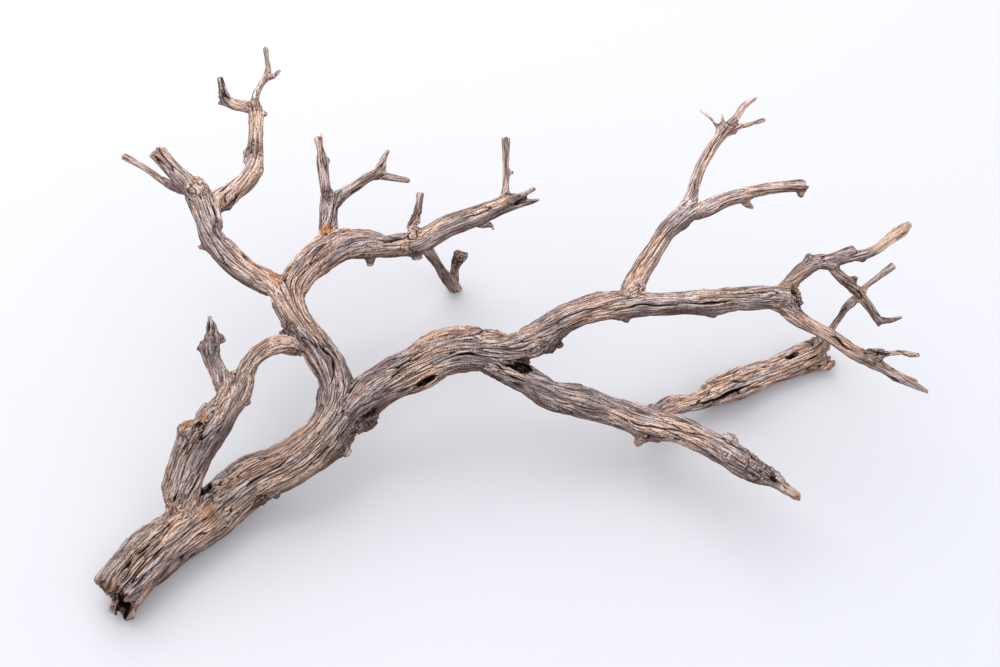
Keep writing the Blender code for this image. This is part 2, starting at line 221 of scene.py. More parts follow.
def fibre_directions(centres, normals, areas, thicknesses):
    """Along a limb the normals stay alike, so the fibres run where they vary least.

    A direction's length is how sure it is.
    """
    reach = np.clip(REACH_SHARE * thicknesses, LEAST_REACH, MOST_REACH).astype(np.float32)
    products = outer_products(normals) * areas[:, None].astype(np.float32)
    centres = centres.astype(np.float32)
    squares = (centres**2).sum(1)
    tensors = np.empty((len(centres), 6), np.float32)
    for start in range(0, len(centres), FACES_AT_ONCE):
        rows = slice(start, start + FACES_AT_ONCE)
        apart = squares[rows, None] + squares[None] - 2 * centres[rows] @ centres.T
        weights = np.exp(-0.5 * apart / reach[rows, None] ** 2)
        tensors[rows] = (weights @ products) / (weights @ areas.astype(np.float32))[:, None]
    sizes, axes = np.linalg.eigh(as_matrices(tensors))
    sureness = (sizes[:, 1] - sizes[:, 0]) / sizes.sum(1)
    return axes[:, :, 0] * np.sqrt(sureness)[:, None]


def agreeing(solid, vectors):
    """The faces' directions, turned round where that makes neighbours point the same way."""
    solid.faces.ensure_lookup_table()
    vectors = vectors.copy()
    reached = np.zeros(len(vectors), bool)
    for first in solid.faces:
        if reached[first.index]:
            continue
        reached[first.index] = True
        queue = [first]
        for face in queue:
            for other in {near for edge in face.edges for near in edge.link_faces}:
                if reached[other.index]:
                    continue
                reached[other.index] = True
                if vectors[other.index] @ vectors[face.index] < 0:
                    vectors[other.index] *= -1
                queue.append(other)
    return vectors


class Field:
    """Values kept on a grid round the solid, blurred, and read anywhere between its cells."""

    def __init__(self, places, values, weights):
        self.low = places.min(0) - MARGIN
        shape = np.ceil((places.max(0) + MARGIN - self.low) / CELL).astype(int) + 1
        cells = np.round((places - self.low) / CELL).astype(int)
        self.shape = shape
        flat = (cells[:, 0] * shape[1] + cells[:, 1]) * shape[2] + cells[:, 2]
        count = int(np.prod(shape))
        columns = [np.bincount(flat, weights * column, count) for column in values.T]
        columns.append(np.bincount(flat, weights, count))
        grid = np.stack(columns, axis=1).astype(np.float32).reshape(*shape, len(columns))
        for _ in range(BLUR_ROUNDS):
            for axis in range(3):
                grid = self.blurred(grid, axis)
        self.grid = grid.reshape(count, len(columns))

    @staticmethod
    def blurred(grid, axis):
        total = grid.copy()
        for shift in range(1, BLUR_REACH + 1):
            total += np.roll(grid, shift, axis) + np.roll(grid, -shift, axis)
        return total / (2 * BLUR_REACH + 1)

    def read(self, points):
        place = np.clip((points - self.low) / CELL, 0, self.shape - 1.001)
        cell = place.astype(np.int64)
        part = (place - cell).astype(np.float32)
        flat = (cell[:, 0] * self.shape[1] + cell[:, 1]) * self.shape[2] + cell[:, 2]
        total = 0
        for x in (0, 1):
            for y in (0, 1):
                for z in (0, 1):
                    weight = np.ones(len(points), np.float32)
                    for corner, share in zip((x, y, z), part.T):
                        weight = weight * (share if corner else 1 - share)
                    shift = (x * self.shape[1] + y) * self.shape[2] + z
                    total = total + self.grid[flat + shift] * weight[:, None]
        return total


def main_direction(sixes):
    """The direction along which each tensor is longest."""
    axes = np.linalg.eigh(as_matrices(sixes[:, :6].astype(np.float64)))[1]
    return axes[:, :, 2].astype(np.float32)


def turned_along(tensors, directions):
    """Each direction as its tensor turns it, and unchanged where there is no wood."""
    xx, yy, zz, xy, xz, yz = tensors[:, :6].T
    x, y, z = directions.T
    columns = (xx * x + xy * y + xz * z, xy * x + yy * y + yz * z, xz * x + yz * y + zz * z)
    turned = np.stack(columns, axis=1)
    length = np.linalg.norm(turned, axis=1, keepdims=True)
    return np.where(length > 1e-7, turned / np.maximum(length, 1e-12), directions)


def follow(field, points, directions, step, steps):
    """The places reached along the fibres after each step."""
    places = []
    for _ in range(steps):
        directions = turned_along(field.read(points), directions)
        points = points + directions * step
        places.append(points)
    return places, directions


# --- Streaks ----------------------------------------------------------------------------------

generator = np.random.default_rng(SEED)
lattice = generator.random((LATTICE, LATTICE, LATTICE), np.float32).ravel() - 0.5


def turn_matrix(angles):
    a, b, c = angles
    turn = Matrix.Rotation(a, 3, "X") @ Matrix.Rotation(b, 3, "Y") @ Matrix.Rotation(c, 3, "Z")
    return np.array(turn, np.float32)


def solid_noise(points, cell, layer=0):
    """Smooth noise in space, about -0.5 to 0.5, with swellings about one cell across."""
    turn = turn_matrix((0.6 + layer, 1.1 + 0.7 * layer, 0.4 + 1.3 * layer))
    place = points.astype(np.float32) @ turn / cell + 17.3 * layer + 200.0
    whole = np.floor(place).astype(np.int32)
    part = place - whole
    part = part * part * part * (part * (part * 6 - 15) + 10)
    low = whole % LATTICE
    high = (whole + 1) % LATTICE
    ends = ((low[:, 0], high[:, 0]), (low[:, 1], high[:, 1]), (low[:, 2], high[:, 2]))
    px, py, pz = part.T
    total = 0
    for i in (0, 1):
        wx = px if i else 1 - px
        for j in (0, 1):
            wxy = wx * (py if j else 1 - py)
            flat = (ends[0][i] * LATTICE + ends[1][j]) * LATTICE
            total = total + wxy * (
                lattice[flat + ends[2][0]] * (1 - pz) + lattice[flat + ends[2][1]] * pz
            )
    return total


def streaks(places, weights, cell, layer):
    """Noise averaged along the fibres, with a spread of one."""
    total = 0
    for points, weight in zip(places, weights):
        total = total + weight * solid_noise(points, cell, layer)
    return (total - total.mean()) / total.std()


# --- Named places -----------------------------------------------------------------------------

# A place starts with its shares of the box along X and Y, in hundredths, and the way from the
# core of the topmost limb there to the skin.
UP = (0, 0, 1)
FRONT = (0.1, -0.9, 0.4)
FRONT_TOP = (0, -0.5, 0.85)
OUT_OF_BASE = (-0.57, -0.82, 0)
EGG_SWELLING = 1.1  # share of a hollow's size by which its walls wander, both ways together
EGG_CELL = 2.0
START_ABOVE = 0.01  # metres over the box, where a ray down to a place starts
JUST_INSIDE = 0.0002  # metres

# Open hollows: place, half length along the fibres, half width, depth, painted shade inside.
HOLLOWS = {
    "base mouth": ((3.6, 5.2, (-0.5, -0.7, -0.7)), 9.0, 7.5, 4.0, 1.0),
    "base mouth floor": ((3.0, 2.2, UP), 6.5, 3.2, 2.0, 1.0),
    "loop crotch hole": ((12.5, 21.5, UP), 3.2, 1.9, 4.5, 1.0),
    "loop stub gap": ((12.3, 27.2, UP), 2.4, 1.2, 3.0, 0.35),
    "fork lobe gap": ((32.4, 34.4, (0.6, -0.7, -0.1)), 4.0, 1.2, 3.0, 0.9),
    "trunk hole": ((39.2, 40.0, FRONT), 5.2, 1.8, 5.0, 0.95),
    "front fork cleft": ((50.2, 40.6, (0.1, -0.6, 0.8)), 6.5, 1.2, 5.0, 1.0),
    "front fork cleft mouth": ((51.2, 40.8, (0.1, -0.5, 0.85)), 5.0, 1.7, 4.0, 0.9),
    "burl hole": ((83.5, 48.6, (0.3, 0.1, 0.95)), 2.0, 1.2, 2.5, 0.6),
    "back limb crack": ((77.6, 45.6, (-0.1, -0.3, 0.95)), 13.0, 0.9, 3.5, 1.0),
    "back limb hole": ((87.0, 55.2, (-0.2, -0.5, 0.9)), 3.6, 1.3, 3.5, 0.8),
    "front end slit": ((81.0, 19.6, UP), 4.5, 0.5, 1.6, 0.7),
    "front end step": ((82.6, 20.0, (0.8, 0.5, 0.3)), 7.0, 3.0, 2.0, 0.0),
    "root spur hollow": ((66.6, 32.2, (0.2, -0.6, -0.6)), 4.0, 2.0, 3.0, 0.8),
}

# Long drying cracks: place, half length along the fibres, half width, depth.
CRACKS = {
    "base split, left": ((2.6, 9.0, UP), 9.0, 1.2, 3.0),
    "base split, middle": ((4.2, 7.6, UP), 11.0, 1.1, 2.8),
    "base split, right": ((5.6, 6.6, FRONT_TOP), 8.0, 1.0, 2.4),
    "base flank crack": ((9.5, 11.0, FRONT), 17.0, 1.1, 2.2),
    "base shoulder crack": ((8.0, 14.0, UP), 15.0, 0.9, 1.8),
    "loop flank crack": ((9.8, 21.5, (-0.3, -0.8, 0.5)), 12.0, 1.1, 2.0),
    "loop inner crack": ((11.2, 24.0, (0.6, -0.6, 0.5)), 12.0, 0.9, 1.8),
    "trunk flank crack": ((22.0, 25.5, FRONT), 28.0, 1.3, 2.8),
    "trunk second crack": ((19.0, 26.0, FRONT_TOP), 22.0, 0.9, 1.8),
    "fork seam": ((30.2, 37.5, UP), 10.0, 1.2, 2.2),
    "left main crack": ((27.5, 42.0, UP), 16.0, 1.0, 1.8),
    "hump crack": ((44.0, 42.5, FRONT_TOP), 24.0, 1.2, 2.4),
    "hump low crack": ((46.0, 40.8, FRONT), 16.0, 1.1, 2.2),
    "right limb crack": ((66.0, 49.3, FRONT_TOP), 34.0, 0.9, 1.8),
    "right limb second crack": ((74.0, 48.6, FRONT_TOP), 22.0, 0.8, 1.5),
    "front gap": ((60.8, 35.0, FRONT), 6.0, 1.6, 2.6),
    "front split": ((67.0, 33.0, FRONT), 10.0, 1.4, 2.4),
    "front long crack": ((66.0, 34.5, FRONT_TOP), 26.0, 0.9, 1.7),
    "rear left seam": ((17.4, 58.2, (0.6, 0.2, 0.7)), 24.0, 0.9, 2.0),
    "fork cleft line": ((48.2, 40.4, FRONT_TOP), 18.0, 0.8, 2.4),
    "base rim split": ((5.4, 9.4, UP), 14.0, 0.8, 2.6),
    "trunk top crack": ((24.0, 29.5, UP), 20.0, 0.7, 1.8),
    "right limb top crack": ((57.5, 48.0, UP), 20.0, 0.7, 1.6),
    "front top crack": ((72.0, 31.0, UP), 18.0, 0.7, 1.6),
    "middle limb crack": ((35.0, 66.5, FRONT_TOP), 18.0, 0.7, 1.5),
    "rear right crack": ((68.5, 61.0, FRONT_TOP), 16.0, 0.6, 1.2),
    "trunk hole slit": ((36.6, 38.4, FRONT), 12.0, 0.8, 2.0),
    "rear left dark tip": ((21.4, 55.6, UP), 5.0, 1.6, 1.8),
    "lower tip slit": ((89.6, 41.6, FRONT_TOP), 8.0, 0.8, 1.6),
}

# Wood laid open not long ago, orange and clean: place, reach, strength.
FRESH_BREAKS = {
    "loop stub face": ((10.9, 27.4, UP), 3.4, 1.0),
    "loop stub back": ((12.8, 28.3, UP), 2.6, 0.8),
    "loop crotch scar": ((11.4, 19.6, (0.5, -0.6, 0.6)), 4.2, 0.55),
    "left fork scar": ((20.6, 55.6, UP), 3.0, 0.9),
    "cut knot rim": ((10.7, 69.8, UP), 2.0, 0.7),
    "middle gash": ((26.6, 65.6, UP), 3.2, 1.0),
    "middle gash end": ((29.0, 66.5, UP), 2.4, 0.7),
    "burl rim": ((82.8, 49.2, UP), 2.4, 0.7),
    "flared end": ((86.2, 70.0, (1, 0, 0.2)), 3.0, 0.5),
    "base mouth rim": ((3.0, 5.4, (-0.5, -0.7, 0.5)), 5.0, 0.3),
    "front end": ((83.8, 16.8, (0.7, -0.6, 0.2)), 2.6, 0.6),
    "back limb foot": ((90.5, 54.5, (0.3, -0.5, 0.3)), 6.0, 0.35),
    "back limb crack lip": ((77.6, 44.8, (-0.1, -0.6, 0.7)), 6.0, 0.3),
    "back limb edge": ((84.5, 51.0, (0.2, -0.8, 0.2)), 8.0, 0.3),
    "rear left seam lip": ((17.4, 58.2, (0.6, 0.2, 0.7)), 5.0, 0.4),
    "rear left seam foot": ((19.4, 56.6, (0.6, 0.2, 0.7)), 4.0, 0.4),
    "base rim": ((4.2, 8.0, UP), 7.0, 0.22),
    "lower tip": ((91.0, 40.4, FRONT_TOP), 5.0, 0.25),
    "short twig top": ((37.6, 70.5, UP), 2.0, 0.5),
}

# Tan wood where the grey skin has worn off: place, half length along the fibres, half width.
WORN_PATCHES = {
    "base top": ((6.6, 11.5, UP), 34.0, 10.0),
    "trunk top": ((20.0, 27.5, UP), 36.0, 7.0),
    "left main": ((24.0, 50.0, UP), 18.0, 5.0),
    "middle limb top": ((30.0, 66.0, UP), 18.0, 6.0),
    "rear left rib": ((16.0, 59.0, UP), 34.0, 9.0),
    "right limb top": ((56.0, 49.0, UP), 34.0, 6.0),
    "hump top": ((41.0, 45.5, UP), 22.0, 4.5),
    "middle limb end": ((46.0, 71.5, UP), 22.0, 5.0),
    "back limb foot": ((86.0, 51.3, (0.2, -0.8, 0.2)), 30.0, 6.0),
    "back limb top": ((74.0, 45.0, UP), 40.0, 8.0),
    "back limb end": ((89.5, 57.0, UP), 20.0, 9.0),
    "lower tips": ((88.0, 42.5, UP), 26.0, 5.0),
    "drooping twig": ((93.0, 50.0, UP), 16.0, 4.0),
    "rear right foot": ((66.0, 57.0, UP), 26.0, 8.0),
    "loop bend": ((20.0, 43.0, UP), 18.0, 4.0),
}

# Stretches painted brighter than the rest, as painted light: place, reach, how much.
PAINTED_LIGHT_STRETCHES = {
    "rear left limb": ((16.0, 59.0, UP), 60.0, 0.9),
    "rear left arm": ((17.5, 76.0, UP), 60.0, 1.0),
    "twig pair": ((26.6, 72.0, UP), 42.0, 0.7),
    "middle limb": ((42.0, 69.0, UP), 45.0, 0.6),
    "rear right limb": ((70.0, 64.0, UP), 60.0, 1.0),
    "rear right twigs": ((77.0, 80.5, UP), 60.0, 1.0),
    "back limb": ((77.6, 45.6, UP), 62.0, 0.9),
    "front limb": ((71.0, 31.0, UP), 60.0, 0.7),
}

# Wood with no grey skin at all: place, half length along the fibres, half width.
BARE_WOOD = {"bare twig": ((95.0, 55.0, UP), 16.0, 8.0)}

# Healed knots that the fibres flow round: place, radius, height.
KNOTS = {
    "loop swirl": ((13.8, 30.0, FRONT_TOP), 4.6, 0.8),
    "loop bumps": ((17.5, 32.5, (0.6, -0.5, 0.6)), 3.5, 0.7),
    "cut knot": ((10.8, 68.8, UP), 5.0, 0.4),
    "front swirl": ((59.0, 36.5, FRONT_TOP), 5.5, 0.6),
    "front knob": ((76.6, 29.2, UP), 4.2, 1.2),
    "front knot": ((75.8, 26.5, FRONT_TOP), 3.6, 0.9),
    "front low knot": ((78.5, 24.0, UP), 3.4, 0.8),
    "front last knot": ((80.6, 21.5, UP), 3.0, 0.7),
    "burl swirl": ((81.5, 48.7, FRONT_TOP), 5.5, 0.7),
    "right limb lip": ((64.5, 51.5, UP), 4.0, 0.8),
    "upper knot": ((71.3, 66.5, UP), 4.0, 0.8),
    "hump knot": ((48.0, 45.5, UP), 4.5, 0.9),
    "fork lip": ((52.3, 42.6, (0.2, -0.5, 0.8)), 4.2, 1.1),
    "trunk knot": ((19.5, 24.0, (0.4, -0.9, 0)), 5.0, 0.7),
    "trunk low knot": ((26.0, 28.5, (0.5, -0.9, 0)), 4.0, 0.8),
    "left bend knot": ((22.0, 48.5, (-0.6, -0.4, 0.7)), 4.4, 0.8),
    "elbow knot": ((14.6, 67.6, FRONT_TOP), 4.2, 0.7),
    "arm knob": ((17.3, 75.5, (-0.9, -0.3, 0.3)), 3.6, 1.2),
    "arm ring": ((17.6, 73.0, (0.8, -0.5, 0.3)), 3.2, 1.0),
    "middle knot": ((32.0, 64.0, FRONT), 4.0, 0.7),
    "crotch knot": ((30.6, 38.5, UP), 4.0, 0.6),
}

# Broken-up dark bark: place, reach.
ROUGH_BARK = {
    "base underside": ((18.5, 22.0, (0.5, -0.8, -0.3)), 7.0),
    "fork underside": ((32.0, 34.3, (0.5, -0.8, 0)), 9.0),
    "left bend": ((22.6, 47.6, (-0.5, -0.5, 0.7)), 8.0),
    "knobbly stub": ((13.5, 40.5, UP), 11.0),
    "bark knob": ((54.5, 44.5, (0.4, -0.8, -0.4)), 8.0),
    "middle gnarl": ((36.8, 65.0, FRONT), 7.0),
    "short twig": ((37.6, 69.5, UP), 9.0),
    "splayed end": ((50.0, 74.0, UP), 6.0),
    "elbow": ((14.6, 67.8, FRONT), 7.0),
    "arm knots": ((17.5, 76.0, UP), 7.0),
    "arm fork": ((17.5, 84.5, UP), 6.0),
    "arm left twig": ((13.6, 85.5, UP), 6.0),
    "upper fork": ((77.0, 80.5, UP), 6.0),
    "twig fork": ((26.6, 72.0, UP), 6.0),
    "trunk hole lip": ((38.2, 38.2, FRONT), 5.0),
    "burl": ((84.2, 47.8, (0.8, -0.5, 0.2)), 6.0),
    "drooping twig": ((91.5, 50.6, UP), 10.0),
    "lower tips": ((93.5, 38.8, UP), 8.0),
    "front end": ((79.0, 23.0, UP), 13.0),
    "down twig stub": ((42.5, 74.5, UP), 9.0),
    "back limb end": ((90.0, 57.0, UP), 8.0),
}

# Broken ends: place, reach across, how far the fibres differ in length.
TORN_ENDS = {
    "base": ((3.2, 5.2, OUT_OF_BASE), 15.0, 3.0),
    "loop stub": ((11.5, 27.3, UP), 8.0, 2.2),
    "splayed end": ((51.0, 74.3, UP), 5.0, 2.0),
    "thick twig": ((6.0, 76.0, UP), 5.0, 1.4),
    "front end": ((83.8, 16.8, (0.7, -0.6, 0)), 4.0, 1.6),
    "root spur": ((65.4, 32.4, (0, -0.4, -1)), 7.0, 2.6),
    "back end": ((91.5, 55.0, (1, 0.3, 0)), 8.0, 2.2),
    "flared end": ((86.3, 70.0, (1, 0, 0)), 4.0, 1.2),
}


def point_at(tree, place):
    """The point of the solid's skin, in millimetres, that a place names."""
    x, y, way = place
    low, high = (np.array(corner) for corner in cad_box)
    start = Vector(low + (high - low) * (x / 100, y / 100, 1)) + Vector((0, 0, START_ABOVE))
    down = Vector((0, 0, -1))
    entry = tree.ray_cast(start, down)[0]
    if entry is None:
        raise ValueError(f"no limb under {place}")
    leave = tree.ray_cast(entry + down * JUST_INSIDE, down)[0]
    hit = tree.ray_cast((entry + leave) / 2, Vector(way).normalized())
    return np.array(hit[0] / MM, np.float32)


def found(tree, table):
    """The table with each place as a point."""
    return {name: (point_at(tree, row[0]), *row[1:]) for name, row in table.items()}


def hollow_axes(tree, fibres, row):
    """A hollow's centre, its half sizes as vectors along, across and outwards, and the painted
    shade inside it.
    """
    place, half_length, half_width, depth, darkness = row
    centre = point_at(tree, place)
    along = Vector(main_direction(fibres.read(centre[None]))[0])
    across = Vector(place[2]).cross(along).normalized()
    out = along.cross(across)
    axes = np.array((along * half_length, across * half_width, out * depth), np.float32)
    return centre, axes, darkness


def hollow_cutters(hollows):
    """Uneven egg shapes that lie along the fibres, each with its middle at the skin."""
    cutters = bmesh.new()
    for centre, axes, _ in hollows.values():
        egg = bmesh.ops.create_icosphere(cutters, subdivisions=3, radius=1.0)["verts"]
        unit = np.array([vertex.co for vertex in egg], np.float32)
        swelling = 1 + EGG_SWELLING * solid_noise(unit @ axes + centre, EGG_CELL, 14)
        for vertex, place in zip(egg, unit * swelling[:, None] @ axes + centre):
            vertex.co = Vector(place) * MM
    return cutters


def inside_hollow(points, centre, axes):
    """One inside the hollow and on its walls, falling to zero just outside its rim."""
    shares = (points - centre) @ (axes / (axes**2).sum(1, keepdims=True)).T
    return 1 - smooth_step(np.linalg.norm(shares, axis=1), 0.95, 1.3)


def nearness(points, along, centre, half_length, half_width):
    """One in the middle of a mark that is drawn out along the fibres, and zero outside it."""
    offset = points - centre
    run = (offset * along).sum(1)
    across = np.sqrt(np.maximum((offset**2).sum(1) - run**2, 0))
    return 1 - smooth_step(np.hypot(run / half_length, across / half_width), 0.3, 1.0)


def ball(points, centre, reach, core=0.45):
    """One within the core's share of the reach, and falling to zero at the reach."""
    apart = np.linalg.norm(points - centre, axis=1)
    return 1 - smooth_step(apart / reach, core, 1.0)


def strongest(points, marks):
    """At each point, the largest of the marks' values there."""
    total = np.zeros(len(points))
    for mark in marks:
        total = np.maximum(total, mark)
    return total


def flow_round_knots(points, along, knots):
    """Fibres part before a knot and close behind it, as water does round a stone."""
    for centre, radius, _ in knots.values():
        offset = points - centre
        apart = np.maximum(np.linalg.norm(offset, axis=1, keepdims=True), 0.6 * radius)
        way = offset / apart
        share = 0.5 * (radius / apart) ** 3 * np.linalg.norm(along, axis=1, keepdims=True)
        size = np.linalg.norm(along, axis=1, keepdims=True)
        push = along - 3 * (along * way).sum(1, keepdims=True) * way
        turned = along + share / np.maximum(size, 1e-9) * push * (apart < 4 * radius)
        along = turned * size / np.maximum(np.linalg.norm(turned, axis=1, keepdims=True), 1e-9)
    return along


# --- Relief -----------------------------------------------------------------------------------

FULL_THICKNESS = 18.0  # of a limb that carries the full relief
BROAD_CELL, CRACK_CELL, MIDDLE_CELL, RIDGE_CELL, FINE_CELL = 5.0, 2.6, 1.7, 1.0, 0.7
BROAD_DEPTH, CRACK_DEPTH, MIDDLE_DEPTH, RIDGE_DEPTH, FINE_DEPTH = 0.85, 1.6, 0.50, 0.36, 0.20
CRACK_WIDTH = 0.20
TONE_CELL = 2.4
GATE_CELLS, PATCH_CELLS = (14.0, 5.0), (22.0, 9.0)  # large and small
MOST_CARVING = 0.36  # of the limb's thickness
LEAST_SIZE, MOST_SIZE = 0.1, 1.2  # of a limb, as a share of the full thickness
END_DEPTH = 0.5
TORN_DEPTH = 0.5
TORN_STEPS = 2.2  # in the length of torn fibres, for each spread of their streaks
CRUMB_CELL, SMALL_CRUMB_CELL = 4.2, 2.0
RAGGED_CELL, RAGGED_SHIFT = 2.4, 0.8  # that make a mark's outline uneven
WANDER_CELL, WANDER_SHIFT = 7.0, 2.2  # that make a long crack wander
RING_ANGLE = 8  # radians of the rings round a knot, in one knot radius
RING_HEIGHT = 0.35  # share of the knot's height
FRESH_SPREAD = 1.5  # of a fresh break's colour, as a share of its reach
# Painted light: the core of each brighter stretch.
PAINTED_LIGHT_CORE = 0.3  # of a pale stretch, that is pale all through
HOLLOW_CALM = 0.7  # share of the relief that a hollow's walls lose
GRAIN_ROUNDS, FORM_ROUNDS = 3, 24  # of evening out, that grooves and forms are measured from


def fibre_paths(field, points, along):
    """Places along each point's fibre, close together and far apart, both ways."""
    forward, ahead = follow(field, points, along, STEP, FINE_STEPS)
    backward, behind = follow(field, points, -along, STEP, FINE_STEPS)
    far_forward, _ = follow(field, forward[-1], ahead, LONG_STEP, LONG_STEPS)
    far_backward, _ = follow(field, backward[-1], behind, LONG_STEP, LONG_STEPS)
    near = backward[::-1] + [points] + forward
    between = backward[::-3] + [points] + forward[2::3]
    far = far_backward[::-1] + between + far_forward
    return near, far


def window(places):
    return np.hanning(len(places) + 4)[2:-2]


def billow(values):
    """Flat-topped ridges with sharp grooves between them."""
    return np.minimum(np.abs(values), 1.3) ** 0.75 - 0.75


def all_streaks(near, far, points):
    """Every noise that the relief and the colours use. Each has a layer of its own."""
    found = {
        "broad": streaks(far, window(far), BROAD_CELL, 1),
        "crack": streaks(far, window(far), CRACK_CELL, 2),
        "middle": streaks(far[5:-5], window(far[5:-5]), MIDDLE_CELL, 3),
        "ridge": streaks(near, window(near), RIDGE_CELL, 4),
        "fine": streaks(near, window(near), FINE_CELL, 5),
        "tone": streaks(far[::2], window(far[::2]), TONE_CELL, 6),
    }
    large, small = GATE_CELLS
    found["gate"] = 3.2 * solid_noise(points, large, 7) + 1.6 * solid_noise(points, small, 8)
    large, small = PATCH_CELLS
    found["patch"] = 3.0 * solid_noise(points, large, 21) + 1.8 * solid_noise(points, small, 22)
    crumb = 4.5 * np.abs(solid_noise(points, CRUMB_CELL, 9))
    crumb += 2.2 * np.abs(solid_noise(points, SMALL_CRUMB_CELL, 10))
    found["crumb"] = np.minimum(crumb, 1.4) - 0.9
    return found


def relief(points, normals, along, thickness, streak, places):
    """How far each point of the skin stands out, and the marks on it, all from 0 to 1."""
    size = np.clip(thickness / FULL_THICKNESS, LEAST_SIZE, MOST_SIZE)
    shift = [solid_noise(points, RAGGED_CELL, 11 + i) for i in range(3)]
    ragged = points + RAGGED_SHIFT * np.stack(shift, axis=1)
    gate = smooth_step(streak["gate"], -0.9, 0.8)
    crack = np.exp(-((streak["crack"] / CRACK_WIDTH) ** 2)) * gate
    end = smooth_step(np.abs((normals * along).sum(1)), 0.62, 0.95)
    side = 1 - end
    height = BROAD_DEPTH * size * np.clip(streak["broad"], -2, 2) * side
    height += MIDDLE_DEPTH * size**0.8 * billow(streak["middle"]) * side
    height += RIDGE_DEPTH * size**0.45 * billow(streak["ridge"]) * side
    height += FINE_DEPTH * size**0.25 * billow(streak["fine"])
    height -= CRACK_DEPTH * size * crack * side
    height += END_DEPTH * size**0.5 * end * (streak["ridge"] * 0.6 + streak["middle"] * 0.5)
    for centre, reach, spread in places["torn"].values():
        torn = ball(points, centre, reach) * end
        steps = np.round(TORN_STEPS * streak["middle"]) / TORN_STEPS + 0.35 * streak["ridge"]
        height += TORN_DEPTH * spread * torn * np.clip(steps, -2, 1.4)
    for centre, radius, rise in places["knots"].values():
        near = np.linalg.norm(ragged - centre, axis=1) / radius
        rings = 1 + RING_HEIGHT * np.cos(RING_ANGLE * near)
        height += rise * (1 - smooth_step(near, 0.3, 1.3)) * rings
    rough = strongest(points, (ball(ragged, *row) for row in places["rough"].values()))
    height += rough * size**0.25 * streak["crumb"]
    wandering = points + WANDER_SHIFT * solid_noise(points, WANDER_CELL, 15)[:, None]
    split = np.zeros(len(points), np.float32)
    for centre, half_length, half_width, depth in places["cracks"].values():
        mark = nearness(wandering, along, centre, half_length, half_width)
        height -= depth * mark
        split = np.maximum(split, mark)
    # The darkness inside the hollows is painted shade.
    hollow = np.zeros(len(points), np.float32)
    dark = np.zeros(len(points), np.float32)
    for centre, axes, darkness in places["hollows"].values():
        inside = inside_hollow(points, centre, axes)
        hollow = np.maximum(hollow, inside)
        dark = np.maximum(dark, darkness * inside)
    height *= 1 - HOLLOW_CALM * hollow
    height = np.maximum(height, -MOST_CARVING * thickness)
    crack = np.maximum(crack * side, split)
    return height, {"crack": crack, "end": end, "rough": rough, "dark": dark}


def neighbour_means(values, edges, rounds):
    """Each point's value evened out with its neighbours', round by round."""
    count = np.bincount(edges.ravel(), minlength=len(values)).astype(np.float32)
    for _ in range(rounds):
        columns = []
        for column in values.T:
            total = np.bincount(edges[:, 0], column[edges[:, 1]], len(values))
            total += np.bincount(edges[:, 1], column[edges[:, 0]], len(values))
            columns.append(total / count)
        values = 0.5 * values + 0.5 * np.stack(columns, axis=1)
    return values


def hollowness(points, normals, edges, rounds):
    """How far the skin lies below its surroundings, in millimetres."""
    evened = neighbour_means(points.astype(np.float64), edges, rounds)
    return ((evened - points) * normals).sum(1)


def keep(mesh, name, values):
    attribute = mesh.attributes.new(name, "FLOAT", "POINT")
    attribute.data.foreach_set("value", np.ascontiguousarray(values, np.float32))


def paint(mesh, points, normals, along, thickness, streak, marks, places, smooth_normals):
    """Writes what the material reads: painted shade in grooves, hollows and undersides, painted
    highlights on ridges, painted light on some stretches, tone and the kinds of wood laid bare.
    """
    edges = edges_of(mesh)
    grain = hollowness(points, normals, edges, GRAIN_ROUNDS)
    form = hollowness(points, normals, edges, FORM_ROUNDS)
    # Painted shade: darker the deeper the skin lies in its grooves, cracks and the hollows of its
    # form.
    groove = smooth_step(grain, 0.01, 0.08) * 0.8 + smooth_step(form, 0.05, 0.6) * 0.7
    groove = np.clip(groove + 0.9 * marks["crack"], 0, 1)
    # Painted highlight: lighter where the skin stands out on ridges.
    ridge = smooth_step(-grain, 0.0, 0.08) * 0.6 + smooth_step(-form, 0.0, 0.4) * 0.5
    fresh = strongest(points, (
        strength * ball(points, centre, FRESH_SPREAD * reach)
        for centre, reach, strength in places["fresh"].values()
    ))
    # Painted light: stretches drawn brighter than the rest.
    painted_light = strongest(points, (
        amount * ball(points, centre, reach, PAINTED_LIGHT_CORE)
        for centre, reach, amount in places["pale"].values()
    ))
    worn = strongest(points, (nearness(points, along, *row) for row in places["worn"].values()))
    bare = strongest(points, (nearness(points, along, *row) for row in places["bare"].values()))
    # Painted light and shade: skin facing up counts as lit, skin facing down as shaded, with
    # patches.
    painted_top_light = smooth_step(smooth_normals[:, 2] + 0.25 * streak["patch"], -0.5, 0.9)
    tone = 0.42 + 0.22 * streak["tone"] + 0.30 * streak["patch"]
    keep(mesh, "groove", groove)
    keep(mesh, "ridge", np.clip(ridge, 0, 1))
    keep(mesh, "fibre", np.clip(0.5 + 0.2 * streak["fine"] + 0.22 * streak["ridge"], 0, 1))
    keep(mesh, "warmth", np.clip(tone + 0.6 * worn, 0, 1))
    keep(mesh, "painted_top_light", painted_top_light)
    keep(mesh, "painted_light", painted_light)
    keep(mesh, "fresh", np.clip(fresh * (0.8 + 0.25 * streak["ridge"]), 0, 1))
    keep(mesh, "bare", bare)
    # Painted shade: near black inside the hollows and in the grooves of rough bark.
    keep(mesh, "deep_shade", np.clip(marks["dark"] * 1.1 + 0.35 * marks["rough"] * groove, 0, 1))
    keep(mesh, "rough", marks["rough"])
    keep(mesh, "end", marks["end"])
    keep(mesh, "twig", 1 - smooth_step(thickness, 3.5, 9.0))
    attribute = mesh.attributes.new("along", "FLOAT_VECTOR", "POINT")
    attribute.data.foreach_set("vector", np.ascontiguousarray(along, np.float32).ravel())


# --- Material ---------------------------------------------------------------------------------

